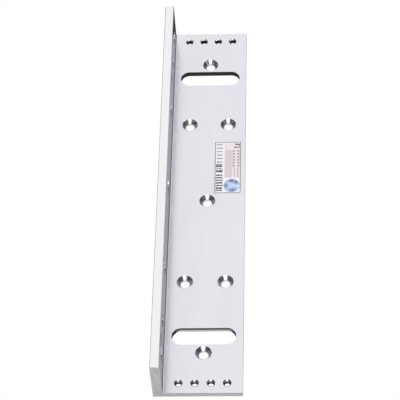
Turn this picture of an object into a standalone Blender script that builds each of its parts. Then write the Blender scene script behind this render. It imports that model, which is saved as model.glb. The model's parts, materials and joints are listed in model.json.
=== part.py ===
"""L bracket of a surface-mounted magnetic door lock.

An extruded aluminium angle lies on its back: the wide plate is flat on the ground and
the narrow leg stands up along its -X edge. The plate has two crossways slots, seven
countersunk screw holes and a row of four small holes at each end. The leg has seven
countersunk screw holes. A printed serial label and a small round seal are stuck to the
plate. X runs across the plate, Y along the bracket, Z up, and the origin is the centre
of the plate's underside. All sizes are in metres.
"""

import math

import bmesh
import bpy

# The angle.
LENGTH = 0.250
WIDTH = 0.0470
HEIGHT = 0.0285
PLATE_THICKNESS = 0.0035
LEG_THICKNESS = 0.0050
EDGE_RADIUS = 0.0005
PLATE_EDGE_RADIUS = 0.0002
INNER_RADIUS = 0.0006

# Countersunk screw holes, in the plate and in the leg.
SCREW_HOLE = 0.0050
SCREW_HEAD = 0.0088
SCREW_ANGLE = math.radians(82)
SCREW_PAIR_X = 0.011
SCREW_PAIR_Y = 0.055
SCREW_SINGLE_Y = 0.1005

# Pairs of holes in the leg: how far from the middle, and how far above the leg's middle line.
LEG_HOLE_PAIRS = ((0.055, 0.0), (0.090, 0.002), (0.110, 0.0))

# Crossways slots with round ends.
SLOT_LENGTH = 0.0344
SLOT_WIDTH = 0.0104
SLOT_Y = 0.090

# Rows of small chamfered holes at the two ends of the plate.
END_HOLE = 0.0033
END_HOLE_RIM = 0.0045
END_HOLE_PITCH = 0.0085
END_HOLES = 4
END_ROW_Y = 0.119

# The label, and the seal stuck on top of it.
LABEL_WIDTH = 0.0151
LABEL_LENGTH = 0.0370
LABEL_CENTRE = (0.01365, 0.0236)
LABEL_CORNER = 0.0005
SEAL_DIAMETER = 0.0092
SEAL_CENTRE = (0.0160, 0.0105)
STICKER_THICKNESS = 0.00015
STICKER_GAP = 0.0003

# Facets of the round shapes, and how far a cutter runs past the faces it cuts.
HOLE_SEGMENTS = 32
END_HOLE_SEGMENTS = 20
SLOT_END_SEGMENTS = 14
CORNER_SEGMENTS = 2
OVERRUN = 0.001

LEFT = -WIDTH / 2
RIGHT = WIDTH / 2
LEG_FACE = LEFT + LEG_THICKNESS
INNER_CENTRE_X = (LEG_FACE + RIGHT) / 2
LEG_MIDDLE_Z = (PLATE_THICKNESS + HEIGHT) / 2


def clear_scene():
    for old in list(bpy.data.objects):
        bpy.data.objects.remove(old, do_unlink=True)


def make_material(name, colour, roughness, metallic):
    material = bpy.data.materials.new(name)
    material.use_nodes = True
    shader = material.node_tree.nodes["Principled BSDF"]
    shader.inputs["Base Color"].default_value = (*colour, 1.0)
    shader.inputs["Roughness"].default_value = roughness
    shader.inputs["Metallic"].default_value = metallic
    return material


def add_object(name, bm, collection):
    bmesh.ops.recalc_face_normals(bm, faces=bm.faces)
    mesh = bpy.data.meshes.new(name)
    bm.to_mesh(mesh)
    bm.free()
    obj = bpy.data.objects.new(name, mesh)
    collection.objects.link(obj)
    return obj


def prism(corners, low, high):
    """Upright prism from z = low to z = high. Each outline corner is (x, y, radius)."""
    bm = bmesh.new()
    verts = [bm.verts.new((x, y, low)) for x, y, radius in corners]
    bm.faces.new(verts)
    for vert, corner in zip(verts, corners):
        radius = corner[2]
        if radius > 0:
            bmesh.ops.bevel(bm, geom=[vert], offset=radius, segments=CORNER_SEGMENTS,
                            profile=0.5, affect="VERTICES")
    grown = bmesh.ops.extrude_face_region(bm, geom=bm.faces[:])
    top = [item for item in grown["geom"] if isinstance(item, bmesh.types.BMVert)]
    bmesh.ops.translate(bm, verts=top, vec=(0, 0, high - low))
    return bm


def turned(profile, segments):
    """Closed solid of revolution about Z, from (radius, z) points."""
    bm = bmesh.new()
    rings = []
    for radius, z in profile:
        angles = [2 * math.pi * i / segments for i in range(segments)]
        rings.append([bm.verts.new((radius * math.cos(a), radius * math.sin(a), z)) for a in angles])
    for upper, lower in zip(rings, rings[1:]):
        for i in range(segments):
            j = (i + 1) % segments
            bm.faces.new((upper[i], upper[j], lower[j], lower[i]))
    bm.faces.new(rings[0])
    bm.faces.new(rings[-1])
    return bm


def slot_corners(length, width, segments):
    """Outline of a slot along X: two half circles joined by straight sides."""
    radius = width / 2
    corners = []
    for side in (1, -1):
        centre = side * (length / 2 - radius)
        for step in range(segments + 1):
            angle = math.pi * (step / segments - side / 2)
            corners.append((centre + radius * math.cos(angle), radius * math.sin(angle), 0))
    return corners


def add_cutter(name, bm, cutters, location, lean=0.0):
    cutter = add_object(name, bm, cutters)
    cutter.location = location
    cutter.rotation_euler.y = lean
    cutter.hide_render = True
    cutter.display_type = "WIRE"


def add_screw_hole(name, cutters, location, thickness, lean=0.0):
    """Through hole with a countersink that opens at the given point."""
    slope = math.tan(SCREW_ANGLE / 2)
    cone_depth = (SCREW_HEAD - SCREW_HOLE) / 2 / slope
    profile = (
        (SCREW_HEAD / 2 + OVERRUN * slope, OVERRUN),
        (SCREW_HOLE / 2, -cone_depth),
        (SCREW_HOLE / 2, -thickness - OVERRUN),
    )
    add_cutter(name, turned(profile, HOLE_SEGMENTS), cutters, location, lean)


def add_plate_screw_holes(cutters):
    spots = [(0.0, 0.0)]
    for side in (-1, 1):
        spots.append((0.0, side * SCREW_SINGLE_Y))
        spots.append((-SCREW_PAIR_X, side * SCREW_PAIR_Y))
        spots.append((SCREW_PAIR_X, side * SCREW_PAIR_Y))
    for number, (x, y) in enumerate(spots):
        place = (INNER_CENTRE_X + x, y, PLATE_THICKNESS)
        add_screw_hole(f"plate_screw_cutter_{number}", cutters, place, PLATE_THICKNESS)


def add_leg_screw_holes(cutters):
    spots = [(0.0, LEG_MIDDLE_Z)]
    for y, rise in LEG_HOLE_PAIRS:
        spots.append((-y, LEG_MIDDLE_Z + rise))
        spots.append((y, LEG_MIDDLE_Z + rise))
    for number, (y, z) in enumerate(spots):
        place = (LEG_FACE, y, z)
        add_screw_hole(f"leg_screw_cutter_{number}", cutters, place, LEG_THICKNESS, math.pi / 2)


def add_slots(cutters):
    for name, side in (("near", -1), ("far", 1)):
        corners = slot_corners(SLOT_LENGTH, SLOT_WIDTH, SLOT_END_SEGMENTS)
        solid = prism(corners, -OVERRUN, PLATE_THICKNESS + OVERRUN)
        add_cutter(f"slot_cutter_{name}", solid, cutters, (INNER_CENTRE_X, side * SLOT_Y, 0))


def add_end_holes(cutters):
    """Plain through holes with a 90 degree chamfer where they open on the plate's face."""
    chamfer = (END_HOLE_RIM - END_HOLE) / 2
    profile = (
        (END_HOLE_RIM / 2 + OVERRUN, PLATE_THICKNESS + OVERRUN),
        (END_HOLE / 2, PLATE_THICKNESS - chamfer),
        (END_HOLE / 2, -OVERRUN),
    )
    for name, side in (("near", -1), ("far", 1)):
        for number in range(END_HOLES):
            x = INNER_CENTRE_X + (number - (END_HOLES - 1) / 2) * END_HOLE_PITCH
            solid = turned(profile, END_HOLE_SEGMENTS)
            add_cutter(f"end_hole_cutter_{name}_{number}", solid, cutters, (x, side * END_ROW_Y, 0))


def add_bracket(collection):
    """The angle's outline, drawn across its length, extruded and then drilled."""
    cutters = bpy.data.collections.new("bracket_cutters")
    collection.children.link(cutters)
    add_plate_screw_holes(cutters)
    add_leg_screw_holes(cutters)
    add_slots(cutters)
    add_end_holes(cutters)

    corners = (
        (LEFT, 0, EDGE_RADIUS),
        (RIGHT, 0, PLATE_EDGE_RADIUS),
        (RIGHT, PLATE_THICKNESS, PLATE_EDGE_RADIUS),
        (LEG_FACE, PLATE_THICKNESS, INNER_RADIUS),
        (LEG_FACE, HEIGHT, EDGE_RADIUS),
        (LEFT, HEIGHT, EDGE_RADIUS),
    )
    bracket = add_object("l_bracket", prism(corners, -LENGTH / 2, LENGTH / 2), collection)
    bracket.rotation_euler.x = math.pi / 2
    bracket.data.materials.append(make_material("anodised_aluminium", (0.80, 0.80, 0.83), 0.38, 1.0))
    drill = bracket.modifiers.new("drill", "BOOLEAN")
    drill.operation = "DIFFERENCE"
    drill.solver = "EXACT"
    drill.operand_type = "COLLECTION"
    drill.collection = cutters


def add_label(collection):
    """Printed film, parallel to the plate."""
    x, y = LABEL_WIDTH / 2, LABEL_LENGTH / 2
    corners = [(sx * x, sy * y, LABEL_CORNER) for sx, sy in ((-1, -1), (1, -1), (1, 1), (-1, 1))]
    label = add_object("serial_label", prism(corners, 0, STICKER_THICKNESS), collection)
    label.location = (*LABEL_CENTRE, PLATE_THICKNESS + STICKER_GAP)
    label.data.materials.append(make_material("label_film", (0.83, 0.82, 0.86), 0.45, 0.0))


def add_seal(collection):
    """Round foil seal, parallel to the label and on top of it."""
    profile = ((SEAL_DIAMETER / 2, STICKER_THICKNESS), (SEAL_DIAMETER / 2, 0))
    seal = add_object("round_seal", turned(profile, HOLE_SEGMENTS), collection)
    seal.location = (*SEAL_CENTRE, PLATE_THICKNESS + 2 * STICKER_GAP + STICKER_THICKNESS)
    seal.data.materials.append(make_material("seal_foil", (0.62, 0.68, 0.88), 0.35, 0.0))


def main():
    clear_scene()
    collection = bpy.context.scene.collection
    add_bracket(collection)
    add_label(collection)
    add_seal(collection)


main()
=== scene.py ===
"""The finished look of a magnetic lock's L bracket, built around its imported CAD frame.

A drilled aluminium angle with machined countersinks, slots and sawn ends, a printed
label and a round foil seal. Metres, +Z up, in the frame's own coordinates.
"""
import json
import math
import random

import bmesh
import bpy
from mathutils import Matrix, Vector

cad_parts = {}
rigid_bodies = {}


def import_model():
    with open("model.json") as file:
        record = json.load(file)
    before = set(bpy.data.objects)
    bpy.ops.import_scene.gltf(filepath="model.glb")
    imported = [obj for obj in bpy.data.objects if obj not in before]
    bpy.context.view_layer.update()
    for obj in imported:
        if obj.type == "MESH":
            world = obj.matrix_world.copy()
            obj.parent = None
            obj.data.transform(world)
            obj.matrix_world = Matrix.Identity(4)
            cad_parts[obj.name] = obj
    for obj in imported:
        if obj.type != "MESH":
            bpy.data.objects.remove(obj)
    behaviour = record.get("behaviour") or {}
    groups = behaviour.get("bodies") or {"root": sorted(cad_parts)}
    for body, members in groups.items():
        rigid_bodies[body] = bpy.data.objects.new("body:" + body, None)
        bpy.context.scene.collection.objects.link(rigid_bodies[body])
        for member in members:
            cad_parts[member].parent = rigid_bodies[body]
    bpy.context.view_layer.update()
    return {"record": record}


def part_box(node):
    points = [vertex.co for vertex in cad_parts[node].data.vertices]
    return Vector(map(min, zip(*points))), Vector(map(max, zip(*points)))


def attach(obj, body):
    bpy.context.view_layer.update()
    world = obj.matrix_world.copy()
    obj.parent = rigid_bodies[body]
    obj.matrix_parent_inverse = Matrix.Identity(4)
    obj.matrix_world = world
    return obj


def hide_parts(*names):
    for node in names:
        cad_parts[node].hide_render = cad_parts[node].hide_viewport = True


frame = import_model()

# ---------------------------------------------------------------- sizes from the frame
MOUNTS = {mount["name"]: Vector(mount["pos_m"]) for mount in frame["record"]["mounts"]}
LOW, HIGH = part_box("l_bracket")
LABEL_LOW, LABEL_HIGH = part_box("serial_label")
SEAL_LOW, SEAL_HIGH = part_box("round_seal")
PLATE_TOP = MOUNTS["plate_face"].z
LEG_FACE = MOUNTS["leg_inner_face"].x
LEG_THICKNESS = LEG_FACE - LOW.x
HOLE_LINE_X = (LEG_FACE + HIGH.x) / 2
HOLE_LINE_Z = (PLATE_TOP + HIGH.z) / 2

# ------------------------------------------------------------- sizes of the machining
SCREW_HOLE = 0.0050
SCREW_HEAD = 0.0088
SCREW_ANGLE = math.radians(82)
SCREW_PAIR_X = 0.011
SCREW_PAIR_Y = 0.055
SCREW_SINGLE_Y = 0.1005
LEG_HOLE_PAIRS = ((0.055, 0.0), (0.090, 0.002), (0.110, 0.0))   # along Y, and above the middle line
SLOT_LENGTH = 0.0344
SLOT_WIDTH = 0.0104
SLOT_Y = 0.090
END_HOLE = 0.0033
END_HOLE_RIM = 0.0045
END_HOLE_PITCH = 0.0085
END_HOLES = 4
END_ROW_Y = 0.119
RIM_BREAK = 0.00012
SLOT_RIM_BREAK = 0.00003
EDGE_RADIUS = 0.0005
PLATE_EDGE_RADIUS = 0.0002
INNER_RADIUS = 0.0006
OVERRUN = 0.0006                  # how far a cutter reaches past the face it opens
ENDS_FACE_Y = 0.9                 # a face is a cut end where its normal has more Y, either way

# -------------------------------------------------------------------- label and seal
FILM_THICKNESS = 0.00010
FILM_CORNER = 0.0005
INK_THICKNESS = 0.00002
INK_LAYERS = 2
GLUE_LINE = 0.00001
FILM_BOTTOM = PLATE_TOP + GLUE_LINE
FILM_TOP = FILM_BOTTOM + FILM_THICKNESS
LABEL_WIDTH = LABEL_HIGH.x - LABEL_LOW.x
LABEL_LENGTH = LABEL_HIGH.y - LABEL_LOW.y
BORDER_MARGIN = 0.00015
BORDER_LINE = 0.00050
SEAL_RADIUS = (SEAL_HIGH.x - SEAL_LOW.x) / 2
SEAL_CENTRE = (SEAL_LOW + SEAL_HIGH) / 2
SEAL_EDGE = 0.00003

# --------------------------------- the print, in shares of the label's width and length
# An area is (across low, along low, across high, along high). A row is (middle, height).
BOLD_ROWS = (
    (0.560, 0.016), (0.523, 0.040), (0.472, 0.016), (0.424, 0.042), (0.347, 0.026), (0.298, 0.026),
    (0.249, 0.022), (0.200, 0.030), (0.150, 0.024), (0.098, 0.036), (0.055, 0.020),
)
BOLD_LEFT = 0.046
BOLD_WORD = 0.16                  # the longest word in a row
THIN_ROWS = 6
THIN_ROW_FIRST = 0.605
THIN_ROW_PITCH = 0.0675
THIN_ROW_HEIGHT = 0.022
THIN_LEFT = 0.075
THIN_WORD = 0.10
TEXT_RIGHT = 0.335
RAGGED_LEFT = 0.02
RAGGED_RIGHT = 0.04
SHORTEST_WORD = 0.02
WORD_GAP = 0.010
PRINT_SEED = 11
BLUSH_AREA = (0.375, 0.295, 0.960, 0.965)
PANEL_AREA = (0.385, 0.300, 0.655, 0.830)
COLUMNS = (0.675, 0.850)          # where each column of blocks starts across the label
COLUMN_WIDTH = 0.085
COLUMN_BLOCKS = 6
COLUMN_BLOCK = (0.510, 0.545)     # where the first block starts and stops along it
COLUMN_PITCH = 0.058
TALL_BARS = ((0.735, 0.315, 0.762, 0.490), (0.860, 0.305, 0.892, 0.490))
TOP_BARS = ((0.76, 0.937, 0.90, 0.962), (0.72, 0.880, 0.88, 0.900), (0.905, 0.880, 0.935, 0.962))

# --------------------------------------------------------------------- metal finishes
# A scale is about how many clouds of a noise fit in a metre, or a third of a wave's rings.
NOISE_LOW = 0.3                   # most of a noise lies between these two
NOISE_HIGH = 0.7
SATIN_ROUGHNESS = 0.18
SATIN_EDGE_TINT = (0.46, 0.46, 0.48)
SATIN_DARK = (0.765, 0.762, 0.815)
SATIN_LIGHT = (0.810, 0.807, 0.860)
CLOUD_SCALE = 60
CLOUD_STRETCH = (1, 0.35, 1)
CLOUD_ROUGHNESS = 0.04
DIE_LINE_SCALES = (2600, 9, 2600)     # fine across the bracket, and long along it
DIE_LINE_ROUGHNESS = 0.07
GRAIN_SCALE = 5200
GRAIN_SHARE = 0.5
GRAIN_DEPTH = 0.0000012
# Painted highlight: a lighter colour along the leg's narrow top edge.
CREST_HIGHLIGHT_COLOUR = (0.890, 0.890, 0.915)
CREST_HIGHLIGHT_START_Z = HIGH.z - EDGE_RADIUS
CREST_HIGHLIGHT_FULL_Z = HIGH.z - EDGE_RADIUS / 4
# The same machined finish in two brightnesses: darker in the plate's holes, painted shade, and
# lighter in the leg's, painted light.
PLATE_HOLE_SHADED_COLOUR = (0.50, 0.50, 0.515)
LEG_HOLE_LIT_COLOUR = (0.88, 0.88, 0.90)
MACHINED_ROUGHNESS = (0.19, 0.30)
TOOL_RING_SCALE = 1900
TOOL_RING_WAVER = 1.2
TOOL_RING_DEPTH = 0.0000025
SAWN_DARK = (0.55, 0.55, 0.553)
SAWN_LIGHT = (0.62, 0.62, 0.623)
SAWN_ROUGHNESS = (0.5, 0.62)
SAWN_CLOUD_SCALE = 300
SAWN_GRAIN_SCALE = 2600
SAWN_GRAIN_SHARE = 0.8
SAW_AXLE = (-0.11, 0, -0.09)          # the blade's centre, and so the saw arcs'
SAW_ARC_SCALE = 520
SAW_ARC_WAVER = 0.6
SAW_MARK_DEPTH = 0.000004

# ----------------------------------------------------------------- film, ink and foil
FILM_COLOUR = (0.93, 0.92, 0.94)
FILM_DARKEST = 0.95               # share of the colour left where the mottling is darkest
FILM_ROUGHNESS = 0.42
FILM_ROUGHNESS_SPREAD = 0.05
FILM_MOTTLE_SCALE = 1400
FILM_MOTTLE_DEPTH = 0.000002
DARK_INK = (0.09, 0.09, 0.10)
GREY_INK = (0.30, 0.30, 0.31)
ROSE_INK = (0.48, 0.40, 0.42)
PINK_INK = (0.72, 0.64, 0.67)
BLUSH_INK = (0.86, 0.79, 0.81)
FOIL_COLOUR = (0.53, 0.67, 0.97)
FOIL_ROUGHNESS = 0.3
FOIL_METALLIC = 0.15
FOIL_MIDDLE = ((0.35, (0.48, 0.62, 0.95)), (0.65, (0.60, 0.73, 1.0)))    # (noise, colour)
# The ring's darker arcs and their shifting colours are painted foil reflections, and the pale blue
# is the foil's own colour.
FOIL_RIM = (                      # (share of a turn from the -X side, by way of -Y, colour)
    (0.00, (0.13, 0.22, 0.32)),   # -X side: grey teal
    (0.12, (0.46, 0.58, 0.80)),
    (0.27, (0.13, 0.16, 0.34)),   # -Y side: slate blue
    (0.38, (0.40, 0.46, 0.72)),
    (0.49, (0.72, 0.88, 0.98)),   # +X side: pale cyan
    (0.61, (0.12, 0.17, 0.29)),
    (0.68, (0.30, 0.32, 0.55)),
    (0.76, (0.09, 0.10, 0.26)),   # +Y side: dark violet
    (0.88, (0.52, 0.60, 0.78)),
    (1.00, (0.13, 0.22, 0.32)),
)
FOIL_RIM_SHARE = (                # (share of the radius, how much of the rim's colour shows)
    (0.32, 0.0), (0.66, 1.0), (0.86, 0.9), (1.0, 0.3),
)
FOIL_WANDER = 0.2                 # how far that strays, as a share of the radius
FOIL_WANDER_SCALE = 420
FOIL_GRAIN_SCALE = 3000
FOIL_GRAIN_DEPTH = 0.000001

# ------------------------------------------------------------------ studio and camera
WHITE = (1, 1, 1, 1)
FLOOR_REACH = 10.0                # half of its side
FLOOR_COLOUR = (0.8, 0.8, 0.81)
FLOOR_DROP = 0.0001               # below the plate's underside
# Cards seen only in the metal's reflections: the dark ones are painted shade, the glowing ones
# painted light.
CARD_COLOUR = (0.05, 0.05, 0.05)
CARD_ROUGHNESS = 0.9
CARD_THICKNESS = 0.00003
CARD_LIFT = 0.3                   # above the floor, in thicknesses
GLOW_CARD_LIFT = 1.5
CARD_INSET = 0.002                # from the plate's near end
CARD_BEHIND = 0.03                # past the plate's far end
GLOW_STRIP_WIDTH = 0.0011
GLOW_END_SHIFT = 0.0006           # past the near end holes' centres
GLOW_ROW_WIDTH = 0.0064
TENT_LIGHT = 1.05
TENT_BY_HEIGHT = ((0.0, 0.03), (0.25, 0.06), (0.5, 0.95))    # (Z of the direction, light)
TENT_BY_FRONT = ((0.15, 0.05), (0.45, 1.0))                  # (0.5 + Y of the direction, light)
TENT_BY_SIDE = ((0.35, 1.0), (0.65, 0.3))                    # (|X| of the direction, light)
TENT_BY_CORNER = ((0.52, 0.3), (0.60, 1.0))                  # (half of |X| + Y, the least light)
FRONT_BOX_AT = (0.05, -1.3, 0.98)
FRONT_BOX_SIZE = 1.35
FRONT_BOX_POWER = 14.5
SIDE_BOX_AT = (1.04, -0.42, 0.84)
SIDE_BOX_SIZE = 0.25
SIDE_BOX_POWER = 1.8
FILL_BOX_AT = (0.0, -0.2, 1.5)
FILL_BOX_SIZE = 0.7
FILL_BOX_POWER = 5.5
CAMERA_LENS = 171.2
CAMERA_SENSOR = 36
CAMERA_CLIP_START = 0.05
CAMERA_CLIP_END = 40
CAMERA_DISTANCE = 1.057
CAMERA_AZIMUTH = math.radians(4.92)
CAMERA_ELEVATION = math.radians(52.64)
CAMERA_ROLL = math.radians(-4.58)
AIM = Vector((0, 0, 0.0095))
AIM_SHIFT = (-0.00126, -0.00313)      # to the right and up, in the camera's own directions

# ---------------------------------------------------------------- facets of the curves
CORNER_SEGMENTS = 6
RIM_SEGMENTS = 2
HOLE_SEGMENTS = 96
SLOT_END_SEGMENTS = 48
SEAL_SEGMENTS = 128
ROUND_PROFILE = 0.5               # a bevel's profile that is an arc
SMOOTH_BELOW = math.radians(30)   # edges that turn less than this are shaded smooth
FLAT_FACE_WEIGHT = 100            # how firmly large faces keep their shading flat


# =============================================================================== meshes
def add_object(name, bm, materials, collection=None):
    """Turns a bmesh into a linked object with its faces pointing out."""
    bmesh.ops.recalc_face_normals(bm, faces=bm.faces)
    mesh = bpy.data.meshes.new(name)
    bm.to_mesh(mesh)
    bm.free()
    for material in materials:
        mesh.materials.append(material)
    obj = bpy.data.objects.new(name, mesh)
    (collection or bpy.context.scene.collection).objects.link(obj)
    return obj


def loft(rings):
    """Closed solid through rings of the same number of points, capped at both ends."""
    bm = bmesh.new()
    loops = [[bm.verts.new(point) for point in ring] for ring in rings]
    count = len(loops[0])
    for first, second in zip(loops, loops[1:]):
        for i in range(count):
            j = (i + 1) % count
            bm.faces.new((first[i], first[j], second[j], second[i]))
    bm.faces.new(loops[0])
    bm.faces.new(loops[-1])
    return bm


def circle(radius, z, segments=HOLE_SEGMENTS):
    """Level ring of points around the Z axis."""
    angles = [2 * math.pi * i / segments for i in range(segments)]
    return [(radius * math.cos(a), radius * math.sin(a), z) for a in angles]


def slot_outline(grow, z):
    """Slot along X with round ends, grown outwards by the given amount."""
    radius = SLOT_WIDTH / 2 + grow
    centre = (SLOT_LENGTH - SLOT_WIDTH) / 2
    points = []
    for side in (1, -1):
        for step in range(SLOT_END_SEGMENTS + 1):
            angle = math.pi * (step / SLOT_END_SEGMENTS - side / 2)
            points.append((side * centre + radius * math.cos(angle), radius * math.sin(angle), z))
    return points


def rounded_face(bm, corners):
    """One flat face. Each corner is (point, radius), and a radius turns it into an arc."""
    verts = [bm.verts.new(point) for point, radius in corners]
    bm.faces.new(verts)
    for vert, (point, radius) in zip(verts, corners):
        if radius > 0:
            bmesh.ops.bevel(bm, geom=[vert], offset=radius, segments=CORNER_SEGMENTS,
                            profile=ROUND_PROFILE, affect="VERTICES")


def slab(corners, rise):
    """Rounded face thickened by the vector rise."""
    bm = bmesh.new()
    rounded_face(bm, corners)
    grown = bmesh.ops.extrude_face_region(bm, geom=bm.faces[:])
    moved = [item for item in grown["geom"] if isinstance(item, bmesh.types.BMVert)]
    bmesh.ops.translate(bm, verts=moved, vec=rise)
    return bm


def sheet(low, high, bottom, thickness, radius=0.0):
    """Thin level slab between two (x, y) corners."""
    corners = [((low[0], low[1], bottom), radius), ((high[0], low[1], bottom), radius),
               ((high[0], high[1], bottom), radius), ((low[0], high[1], bottom), radius)]
    return slab(corners, (0, 0, thickness))


def ride(obj):
    """Joins a piece to the root, which carries them all."""
    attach(obj, "root")


# ============================================================================ materials
def start_material(name, colour, roughness, metallic=0.0):
    """New material with an even colour, and its node tree and shader for what is added."""
    material = bpy.data.materials.new(name)
    material.use_nodes = True
    shader = material.node_tree.nodes["Principled BSDF"]
    shader.inputs["Base Color"].default_value = (*colour, 1.0)
    shader.inputs["Roughness"].default_value = roughness
    shader.inputs["Metallic"].default_value = metallic
    return material, material.node_tree, shader


def add_node(tree, kind, inputs=None, **settings):
    """New node with its settings, and its inputs set to values or joined to sockets."""
    node = tree.nodes.new(kind)
    for key, value in settings.items():
        setattr(node, key, value)
    for key, value in (inputs or {}).items():
        if isinstance(value, bpy.types.NodeSocket):
            tree.links.new(value, node.inputs[key])
        else:
            node.inputs[key].default_value = value
    return node


def place(tree, stretch=(1, 1, 1), shift=(0, 0, 0)):
    """Position in the frame, in metres, stretched and then moved for a pattern."""
    spot = add_node(tree, "ShaderNodeTexCoord").outputs["Object"]
    inputs = {"Vector": spot, "Location": shift, "Scale": stretch}
    return add_node(tree, "ShaderNodeMapping", inputs).outputs["Vector"]


def noise(tree, vector, scale, detail=2.0, roughness=0.5):
    """Cloudy value from 0 to 1. More detail adds finer clouds, and roughness their strength."""
    inputs = {"Vector": vector, "Scale": scale, "Detail": detail, "Roughness": roughness}
    return add_node(tree, "ShaderNodeTexNoise", inputs).outputs["Fac"]


def remap(tree, value, low, high):
    """Value from 0 to 1 moved to low to high."""
    inputs = {"Value": value, "To Min": low, "To Max": high}
    return add_node(tree, "ShaderNodeMapRange", inputs).outputs["Result"]


def ramp(tree, value, stops):
    """Colour ramp from (position, colour) stops."""
    node = add_node(tree, "ShaderNodeValToRGB", {"Fac": value})
    elements = node.color_ramp.elements
    while len(elements) < len(stops):
        elements.new(0.5)
    for element, (position, colour) in zip(elements, stops):
        element.position = position
        element.color = (*colour, 1.0)
    return node.outputs["Color"]


def two_tones(tree, value, dark, light):
    """Colour that drifts between dark and light with a noise."""
    return ramp(tree, value, [(NOISE_LOW, dark), (NOISE_HIGH, light)])


def grey_ramp(tree, value, stops):
    """Ramp of greys from (position, brightness) stops."""
    return ramp(tree, value, [(position, (grey, grey, grey)) for position, grey in stops])


def math_node(tree, operation, *values):
    """Result of one operation on values or sockets."""
    inputs = dict(enumerate(values))
    return add_node(tree, "ShaderNodeMath", inputs, operation=operation).outputs["Value"]


def add(tree, first, second, share):
    """first plus share of second."""
    return math_node(tree, "MULTIPLY_ADD", second, share, first)


def mix_colours(tree, share, first, second, blend_type="MIX"):
    """Colour from first, at share 0, to second, at share 1, or to their product with MULTIPLY."""
    inputs = {0: share, 6: first, 7: second}
    node = add_node(tree, "ShaderNodeMix", inputs, data_type="RGBA", blend_type=blend_type)
    return node.outputs[2]


def bump(tree, shader, height, depth):
    """Relief of the given depth, in metres, from a height of 0 to 1."""
    inputs = {"Height": height, "Strength": 1.0, "Distance": depth}
    normal = add_node(tree, "ShaderNodeBump", inputs).outputs["Normal"]
    tree.links.new(normal, shader.inputs["Normal"])


def satin_aluminium():
    """Clear anodised extrusion: die lines along its length under a fine etched grain.

    The leg's narrow top edge is painted a little brighter, a painted highlight.
    """
    material, tree, shader = start_material("satin_anodised", SATIN_LIGHT, SATIN_ROUGHNESS, 1.0)
    lines = noise(tree, place(tree, DIE_LINE_SCALES), 1.0, detail=3.0, roughness=0.6)
    grain = noise(tree, place(tree), GRAIN_SCALE, roughness=0.6)
    cloud = noise(tree, place(tree, CLOUD_STRETCH), CLOUD_SCALE, detail=3.0, roughness=0.55)
    tint = two_tones(tree, cloud, SATIN_DARK, SATIN_LIGHT)
    height = add_node(tree, "ShaderNodeSeparateXYZ", {"Vector": place(tree)}).outputs["Z"]
    inputs = {"Value": height, "From Min": CREST_HIGHLIGHT_START_Z, "From Max": CREST_HIGHLIGHT_FULL_Z}
    crest_highlight = add_node(tree, "ShaderNodeMapRange", inputs).outputs["Result"]
    tint = mix_colours(tree, crest_highlight, tint, (*CREST_HIGHLIGHT_COLOUR, 1.0))
    tree.links.new(tint, shader.inputs["Base Color"])
    shader.inputs["Specular Tint"].default_value = (*SATIN_EDGE_TINT, 1.0)
    rough = remap(tree, cloud, SATIN_ROUGHNESS - CLOUD_ROUGHNESS, SATIN_ROUGHNESS + CLOUD_ROUGHNESS)
    rough = add(tree, rough, lines, DIE_LINE_ROUGHNESS)
    tree.links.new(rough, shader.inputs["Roughness"])
    bump(tree, shader, add(tree, lines, grain, GRAIN_SHARE), GRAIN_DEPTH)
    return material


def machined_aluminium(name, axis, colour):
    """Cut wall of a hole: fine tool rings stacked along the hole's axis."""
    material, tree, shader = start_material(name, colour, MACHINED_ROUGHNESS[0], 1.0)
    inputs = {"Vector": place(tree), "Scale": TOOL_RING_SCALE, "Distortion": TOOL_RING_WAVER,
              "Detail": 1.0}
    wave = add_node(tree, "ShaderNodeTexWave", inputs, wave_type="BANDS", bands_direction=axis)
    rings = wave.outputs["Fac"]
    tree.links.new(remap(tree, rings, *MACHINED_ROUGHNESS), shader.inputs["Roughness"])
    bump(tree, shader, rings, TOOL_RING_DEPTH)
    return material


def sawn_aluminium():
    """Cut end of the extrusion: shallow arcs left by a large circular blade."""
    material, tree, shader = start_material("sawn_end", SAWN_LIGHT, SAWN_ROUGHNESS[0], 1.0)
    from_axle = place(tree, shift=[-part for part in SAW_AXLE])
    inputs = {"Vector": from_axle, "Scale": SAW_ARC_SCALE, "Distortion": SAW_ARC_WAVER}
    wave = add_node(tree, "ShaderNodeTexWave", inputs, wave_type="RINGS", rings_direction="Y")
    grain = noise(tree, place(tree), SAWN_GRAIN_SCALE, detail=3.0, roughness=0.6)
    cloud = noise(tree, place(tree), SAWN_CLOUD_SCALE)
    tree.links.new(two_tones(tree, cloud, SAWN_DARK, SAWN_LIGHT), shader.inputs["Base Color"])
    tree.links.new(remap(tree, grain, *SAWN_ROUGHNESS), shader.inputs["Roughness"])
    bump(tree, shader, add(tree, wave.outputs["Fac"], grain, SAWN_GRAIN_SHARE), SAW_MARK_DEPTH)
    return material


def printed_film(name, colour):
    """Matt printed film: an even colour with faint mottling."""
    material, tree, shader = start_material(name, colour, FILM_ROUGHNESS)
    mottle = noise(tree, place(tree), FILM_MOTTLE_SCALE, detail=3.0, roughness=0.6)
    darker = [FILM_DARKEST * part for part in colour]
    tree.links.new(two_tones(tree, mottle, darker, colour), shader.inputs["Base Color"])
    rough = remap(tree, mottle, FILM_ROUGHNESS - FILM_ROUGHNESS_SPREAD,
                  FILM_ROUGHNESS + FILM_ROUGHNESS_SPREAD)
    tree.links.new(rough, shader.inputs["Roughness"])
    bump(tree, shader, mottle, FILM_MOTTLE_DEPTH)
    return material


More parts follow.
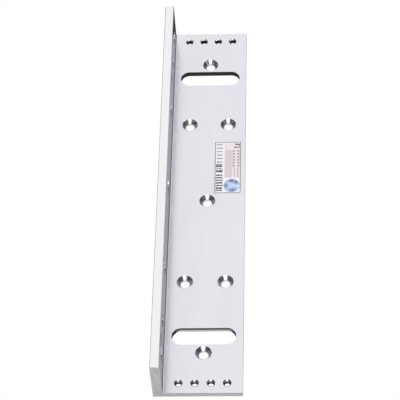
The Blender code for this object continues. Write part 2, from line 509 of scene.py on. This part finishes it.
def seal_foil():
    """Pale blue foil inside a darker ring, whose colour shifts as it goes round: the ring's arcs
    are painted foil reflections.
    """
    material, tree, shader = start_material("seal_foil", FOIL_COLOUR, FOIL_ROUGHNESS, FOIL_METALLIC)
    grow = 1 / SEAL_RADIUS
    spot = place(tree, (grow, grow, 0), (-SEAL_CENTRE.x * grow, -SEAL_CENTRE.y * grow, 0))
    reach = add_node(tree, "ShaderNodeVectorMath", {0: spot}, operation="LENGTH").outputs["Value"]
    wander = noise(tree, place(tree), FOIL_WANDER_SCALE)
    reach = add(tree, math_node(tree, "SUBTRACT", reach, FOIL_WANDER / 2), wander, FOIL_WANDER)
    axes = add_node(tree, "ShaderNodeSeparateXYZ", {"Vector": spot}).outputs
    angle = math_node(tree, "ARCTAN2", axes["Y"], axes["X"])
    share_of_turn = math_node(tree, "MULTIPLY_ADD", angle, 1 / (2 * math.pi), 0.5)
    rim = ramp(tree, share_of_turn, FOIL_RIM)
    rim_share = grey_ramp(tree, reach, FOIL_RIM_SHARE)
    middle = ramp(tree, wander, FOIL_MIDDLE)
    tree.links.new(mix_colours(tree, rim_share, middle, rim), shader.inputs["Base Color"])
    bump(tree, shader, noise(tree, place(tree), FOIL_GRAIN_SCALE), FOIL_GRAIN_DEPTH)
    return material


def floor_material():
    """Plain pale floor, plain white to the camera, so that no shadow darkens it."""
    material = bpy.data.materials.new("pale_floor")
    material.use_nodes = True
    tree = material.node_tree
    tree.nodes.clear()
    matt = add_node(tree, "ShaderNodeBsdfDiffuse", {"Color": (*FLOOR_COLOUR, 1.0)})
    white = add_node(tree, "ShaderNodeEmission", {"Color": WHITE, "Strength": 1.0})
    end = add_node(tree, "ShaderNodeOutputMaterial")
    camera_sees(tree, matt.outputs["BSDF"], white.outputs["Emission"], end)
    return material


def camera_sees(tree, light, seen, end):
    """Joins the light shader for every ray except the camera's, which gets the seen shader."""
    camera = add_node(tree, "ShaderNodeLightPath").outputs["Is Camera Ray"]
    mix = add_node(tree, "ShaderNodeMixShader", {0: camera, 1: light, 2: seen})
    tree.links.new(mix.outputs["Shader"], end.inputs["Surface"])


# ============================================================================== bracket
def add_cutter(name, bm, material, cutters, location, lean=0.0):
    """Cutter at its place. The walls that it cuts take its material."""
    cutter = add_object(name, bm, [material], cutters)
    cutter.location = location
    cutter.rotation_euler.y = lean


def screw_hole(thickness):
    """Cutter for a countersunk hole that opens at z = 0. It takes the sharp edge off both rims."""
    rim = SCREW_HEAD / 2
    bore = SCREW_HOLE / 2
    steepness = math.tan(SCREW_ANGLE / 2)
    throat = -RIM_BREAK - (rim - RIM_BREAK - bore) / steepness
    return loft([
        circle(rim + OVERRUN, OVERRUN),
        circle(rim - RIM_BREAK, -RIM_BREAK),
        circle(bore, throat),
        circle(bore, -thickness + RIM_BREAK),
        circle(bore + RIM_BREAK + OVERRUN, -thickness - OVERRUN),
    ])


def end_hole():
    """Cutter for a small through hole, chamfered where it opens on the plate's face."""
    rim = END_HOLE_RIM / 2
    bore = END_HOLE / 2
    return loft([
        circle(rim + OVERRUN, PLATE_TOP + OVERRUN),
        circle(bore, PLATE_TOP - (rim - bore)),
        circle(bore, RIM_BREAK),
        circle(bore + RIM_BREAK + OVERRUN, -OVERRUN),
    ])


def slot():
    """Cutter for a milled slot. It takes the sharp edge off both rims."""
    return loft([
        slot_outline(SLOT_RIM_BREAK + OVERRUN, PLATE_TOP + OVERRUN),
        slot_outline(0.0, PLATE_TOP - SLOT_RIM_BREAK),
        slot_outline(0.0, SLOT_RIM_BREAK),
        slot_outline(SLOT_RIM_BREAK + OVERRUN, -OVERRUN),
    ])


def add_bracket_cutters(cutters):
    """A cutter for every hole and slot, in the collection cutters."""
    # The plate's hole walls take a darker copy of the machined finish, painted shade, and the leg's
    # a lighter copy, painted light.
    upright = machined_aluminium("machined_plate_holes_painted_shade", "Z", PLATE_HOLE_SHADED_COLOUR)
    level = machined_aluminium("machined_leg_holes_painted_light", "X", LEG_HOLE_LIT_COLOUR)
    plate_spots = [(0.0, 0.0)]
    leg_spots = [(0.0, HOLE_LINE_Z)]
    for side in (-1, 1):
        plate_spots.append((0.0, side * SCREW_SINGLE_Y))
        plate_spots.append((-SCREW_PAIR_X, side * SCREW_PAIR_Y))
        plate_spots.append((SCREW_PAIR_X, side * SCREW_PAIR_Y))
        leg_spots += [(side * y, HOLE_LINE_Z + rise) for y, rise in LEG_HOLE_PAIRS]
        add_cutter("slot_cutter", slot(), upright, cutters, (HOLE_LINE_X, side * SLOT_Y, 0))
        for number in range(END_HOLES):
            x = HOLE_LINE_X + (number - (END_HOLES - 1) / 2) * END_HOLE_PITCH
            add_cutter("end_hole_cutter", end_hole(), upright, cutters, (x, side * END_ROW_Y, 0))
    for x, y in plate_spots:
        spot = (HOLE_LINE_X + x, y, PLATE_TOP)
        add_cutter("plate_screw_cutter", screw_hole(PLATE_TOP), upright, cutters, spot)
    for y, z in leg_spots:
        spot = (LEG_FACE, y, z)
        add_cutter("leg_screw_cutter", screw_hole(LEG_THICKNESS), level, cutters, spot, math.pi / 2)


def add_bracket():
    """The angle, extruded along Y, cut to length and drilled."""
    corners = (
        ((LOW.x, LOW.y, LOW.z), EDGE_RADIUS),
        ((HIGH.x, LOW.y, LOW.z), PLATE_EDGE_RADIUS),
        ((HIGH.x, LOW.y, PLATE_TOP), PLATE_EDGE_RADIUS),
        ((LEG_FACE, LOW.y, PLATE_TOP), INNER_RADIUS),
        ((LEG_FACE, LOW.y, HIGH.z), EDGE_RADIUS),
        ((LOW.x, LOW.y, HIGH.z), EDGE_RADIUS),
    )
    bm = slab(corners, (0, HIGH.y - LOW.y, 0))
    ends = [face for face in bm.faces if abs(face.normal.y) > ENDS_FACE_Y]
    for face in ends:
        face.material_index = 1
    rim = list({edge for face in ends for edge in face.edges})
    bmesh.ops.bevel(bm, geom=rim, offset=RIM_BREAK, segments=RIM_SEGMENTS, profile=ROUND_PROFILE,
                    affect="EDGES")
    bracket = add_object("bracket", bm, [satin_aluminium(), sawn_aluminium()])

    cutters = bpy.data.collections.new("bracket_cutters")
    bpy.context.scene.collection.children.link(cutters)
    add_bracket_cutters(cutters)
    drill = bracket.modifiers.new("drill", "BOOLEAN")
    drill.operation = "DIFFERENCE"
    drill.solver = "EXACT"
    drill.operand_type = "COLLECTION"
    drill.collection = cutters
    drill.material_mode = "TRANSFER"
    drilled = bpy.data.meshes.new_from_object(
        bracket.evaluated_get(bpy.context.evaluated_depsgraph_get()))
    bracket.modifiers.clear()
    bracket.data = drilled
    for cutter in list(cutters.objects):
        bpy.data.objects.remove(cutter, do_unlink=True)
    bpy.data.collections.remove(cutters)

    drilled.shade_smooth()
    drilled.set_sharp_from_angle(angle=SMOOTH_BELOW)
    facing = bracket.modifiers.new("flat_faces_stay_flat", "WEIGHTED_NORMAL")
    facing.keep_sharp = True
    facing.weight = FLAT_FACE_WEIGHT
    ride(bracket)
    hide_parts("l_bracket")


add_bracket()


# ================================================================ label, print and seal
def add_film():
    """The label's film, stuck down on the plate."""
    bm = sheet(LABEL_LOW.xy, LABEL_HIGH.xy, FILM_BOTTOM, FILM_THICKNESS, FILM_CORNER)
    film = add_object("serial_label_film", bm, [printed_film("label_film", FILM_COLOUR)])
    ride(film)
    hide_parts("serial_label")


def add_print(name, areas, material, layer=0):
    """Ink areas. Layer 0 lies on the film itself, and layer 1 on top of other ink."""
    bm = bmesh.new()
    for across_low, along_low, across_high, along_high in areas:
        low = (LABEL_LOW.x + across_low * LABEL_WIDTH, LABEL_LOW.y + along_low * LABEL_LENGTH)
        high = (LABEL_LOW.x + across_high * LABEL_WIDTH, LABEL_LOW.y + along_high * LABEL_LENGTH)
        patch = sheet(low, high, FILM_TOP + layer * INK_THICKNESS, INK_THICKNESS)
        mesh = bpy.data.meshes.new("patch")
        patch.to_mesh(mesh)
        patch.free()
        bm.from_mesh(mesh)
        bpy.data.meshes.remove(mesh)
    ride(add_object(name, bm, [material]))


def border_areas():
    """Four lines just inside the film's edges."""
    x_out, y_out = BORDER_MARGIN / LABEL_WIDTH, BORDER_MARGIN / LABEL_LENGTH
    x_in = x_out + BORDER_LINE / LABEL_WIDTH
    y_in = y_out + BORDER_LINE / LABEL_LENGTH
    return [
        (x_out, y_out, x_in, 1 - y_out),
        (1 - x_in, y_out, 1 - x_out, 1 - y_out),
        (x_in, y_out, 1 - x_in, y_in),
        (x_in, 1 - y_in, 1 - x_in, 1 - y_out),
    ]


def word_rows(rows, left, longest, chance):
    """Rows of plain bars in place of text, broken up as words are."""
    areas = []
    for middle, height in rows:
        start = left + chance.uniform(0.0, RAGGED_LEFT)
        end = TEXT_RIGHT - chance.uniform(0.0, RAGGED_RIGHT)
        while end - start > SHORTEST_WORD:
            stop = min(start + chance.uniform(longest / 2, longest), end)
            areas.append((start, middle - height / 2, stop, middle + height / 2))
            start = stop + WORD_GAP
    return areas


def column_areas():
    """Two columns of small blocks, and the two tall bars under them."""
    start, end = COLUMN_BLOCK
    areas = []
    for left in COLUMNS:
        for number in range(COLUMN_BLOCKS):
            rise = COLUMN_PITCH * number
            areas.append((left, start + rise, left + COLUMN_WIDTH, end + rise))
    return areas + list(TALL_BARS)


def add_label_print():
    """Plain shapes in place of the label's text and pictures."""
    dark = printed_film("dark_ink", DARK_INK)
    grey = printed_film("grey_ink", GREY_INK)
    rose = printed_film("rose_grey_ink", ROSE_INK)
    pink = printed_film("pink_ink", PINK_INK)
    blush = printed_film("blush_ink", BLUSH_INK)
    chance = random.Random(PRINT_SEED)
    thin_rows = [(THIN_ROW_FIRST + THIN_ROW_PITCH * i, THIN_ROW_HEIGHT) for i in range(THIN_ROWS)]

    add_print("label_border", border_areas(), grey)
    add_print("label_bold_rows", word_rows(BOLD_ROWS, BOLD_LEFT, BOLD_WORD, chance), dark)
    add_print("label_thin_rows", word_rows(thin_rows, THIN_LEFT, THIN_WORD, chance), grey)
    add_print("label_blush_field", [BLUSH_AREA], blush)
    add_print("label_panel", [PANEL_AREA], pink, 1)
    add_print("label_columns", column_areas(), rose, 1)
    add_print("label_top_bars", TOP_BARS, dark, 1)


def add_seal():
    """Foil disc on top of the film and its ink, with the sharp edge taken off its rim."""
    bottom = FILM_TOP + INK_LAYERS * INK_THICKNESS + GLUE_LINE
    bm = loft([
        circle(SEAL_RADIUS - SEAL_EDGE, bottom + FILM_THICKNESS, SEAL_SEGMENTS),
        circle(SEAL_RADIUS, bottom + FILM_THICKNESS - SEAL_EDGE, SEAL_SEGMENTS),
        circle(SEAL_RADIUS, bottom, SEAL_SEGMENTS),
    ])
    bmesh.ops.translate(bm, verts=bm.verts, vec=(SEAL_CENTRE.x, SEAL_CENTRE.y, 0))
    seal = add_object("round_foil_seal", bm, [seal_foil()])
    ride(seal)
    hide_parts("round_seal")


add_film()
add_label_print()
add_seal()


# ======================================================================= studio and view
def add_floor():
    """Floor that the bracket lies on."""
    bm = bmesh.new()
    bmesh.ops.create_grid(bm, x_segments=1, y_segments=1, size=FLOOR_REACH)
    bmesh.ops.translate(bm, verts=bm.verts, vec=(0, 0, LOW.z - FLOOR_DROP))
    add_object("floor", bm, [floor_material()])


def add_card(name, low, high, glow=0.0):
    """Thin card just above the floor, which the metal sees and the camera doesn't.

    It is dark, painted shade in the metal's reflections. One that glows is white, painted light in
    those reflections, and lies on top of the dark one.
    """
    material, _, shader = start_material(name, CARD_COLOUR, CARD_ROUGHNESS)
    shader.inputs["Emission Color"].default_value = WHITE
    shader.inputs["Emission Strength"].default_value = glow
    bottom = LOW.z - FLOOR_DROP + CARD_THICKNESS * (GLOW_CARD_LIFT if glow else CARD_LIFT)
    card = add_object(name, sheet(low, high, bottom, CARD_THICKNESS), [material])
    card.visible_camera = False


def add_cards():
    """Painted shade under the plate and behind its far end, and glowing painted light under the
    rows of screw holes.

    Thin glowing strips of painted light also lie along the near slot's far wall and under the near
    end holes.
    """
    add_card("painted_shade_card_under_plate", (LOW.x, LOW.y + CARD_INSET), (HIGH.x, HIGH.y))
    add_card("painted_shade_card_behind", (LOW.x, HIGH.y), (HIGH.x, HIGH.y + CARD_BEHIND))
    for row in (0, SCREW_PAIR_Y, -SCREW_PAIR_Y, SCREW_SINGLE_Y, -SCREW_SINGLE_Y):
        low = (LOW.x, row - GLOW_ROW_WIDTH / 2)
        high = (HIGH.x, row + GLOW_ROW_WIDTH / 2)
        add_card("painted_light_card", low, high, 1.0)
    for far_edge in (SLOT_WIDTH / 2 - SLOT_Y, GLOW_END_SHIFT - END_ROW_Y):
        add_card("painted_light_strip", (LOW.x, far_edge - GLOW_STRIP_WIDTH), (HIGH.x, far_edge), 1.0)


def add_world():
    """Soft tent of light: bright overhead and behind, dim low down, in front and to the sides.

    Its back corners stay bright, and the camera sees plain white in its place.
    """
    world = bpy.data.worlds.new("studio")
    world.use_nodes = True
    bpy.context.scene.world = world
    tree = world.node_tree
    tree.nodes.clear()
    direction = add_node(tree, "ShaderNodeTexCoord").outputs["Generated"]
    axes = add_node(tree, "ShaderNodeSeparateXYZ", {"Vector": direction}).outputs
    tent = grey_ramp(tree, axes["Z"], TENT_BY_HEIGHT)
    front = grey_ramp(tree, math_node(tree, "ADD", axes["Y"], 0.5), TENT_BY_FRONT)
    across = math_node(tree, "ABSOLUTE", axes["X"])
    corner = math_node(tree, "MULTIPLY", math_node(tree, "ADD", axes["Y"], across), 0.5)
    side = math_node(tree, "MAXIMUM", grey_ramp(tree, across, TENT_BY_SIDE),
                     grey_ramp(tree, corner, TENT_BY_CORNER))
    tent = mix_colours(tree, 1.0, tent, front, "MULTIPLY")
    tent = mix_colours(tree, 1.0, tent, side, "MULTIPLY")
    room = add_node(tree, "ShaderNodeBackground", {"Color": tent, "Strength": TENT_LIGHT})
    white = add_node(tree, "ShaderNodeBackground", {"Color": WHITE, "Strength": 1.0})
    end = add_node(tree, "ShaderNodeOutputWorld")
    camera_sees(tree, room.outputs["Background"], white.outputs["Background"], end)


def add_softbox(name, location, size, power):
    """Square area light that faces the bracket."""
    data = bpy.data.lights.new(name, "AREA")
    data.size = size
    data.energy = power
    light = bpy.data.objects.new(name, data)
    light.location = location
    light.rotation_mode = "QUATERNION"
    light.rotation_quaternion = (AIM - Vector(location)).to_track_quat("-Z", "Y")
    bpy.context.scene.collection.objects.link(light)
    return light


def add_lights():
    """The front box lights the plate's holes and the side box the leg's.

    The fill lights only matt film.
    """
    add_softbox("front_softbox", FRONT_BOX_AT, FRONT_BOX_SIZE, FRONT_BOX_POWER)
    add_softbox("side_softbox", SIDE_BOX_AT, SIDE_BOX_SIZE, SIDE_BOX_POWER)
    fill = add_softbox("fill_softbox", FILL_BOX_AT, FILL_BOX_SIZE, FILL_BOX_POWER)
    fill.visible_glossy = False


def add_camera():
    """View from above the near end."""
    back = Vector((math.sin(CAMERA_AZIMUTH) * math.cos(CAMERA_ELEVATION),
                   -math.cos(CAMERA_AZIMUTH) * math.cos(CAMERA_ELEVATION),
                   math.sin(CAMERA_ELEVATION)))
    right = Vector((0, 0, 1)).cross(back).normalized()
    up = back.cross(right)
    turn = Matrix.Rotation(CAMERA_ROLL, 3, back)
    right = turn @ right
    up = turn @ up
    data = bpy.data.cameras.new("camera")
    data.lens = CAMERA_LENS
    data.sensor_width = CAMERA_SENSOR
    data.clip_start = CAMERA_CLIP_START
    data.clip_end = CAMERA_CLIP_END
    camera = bpy.data.objects.new("camera", data)
    target = AIM + right * AIM_SHIFT[0] + up * AIM_SHIFT[1]
    pose = Matrix((right, up, back)).transposed().to_4x4()
    pose.translation = target + back * CAMERA_DISTANCE
    camera.matrix_world = pose
    bpy.context.scene.collection.objects.link(camera)
    bpy.context.scene.camera = camera


add_floor()
add_cards()
add_world()
add_lights()
add_camera()
bpy.context.scene.view_settings.view_transform = "Standard"
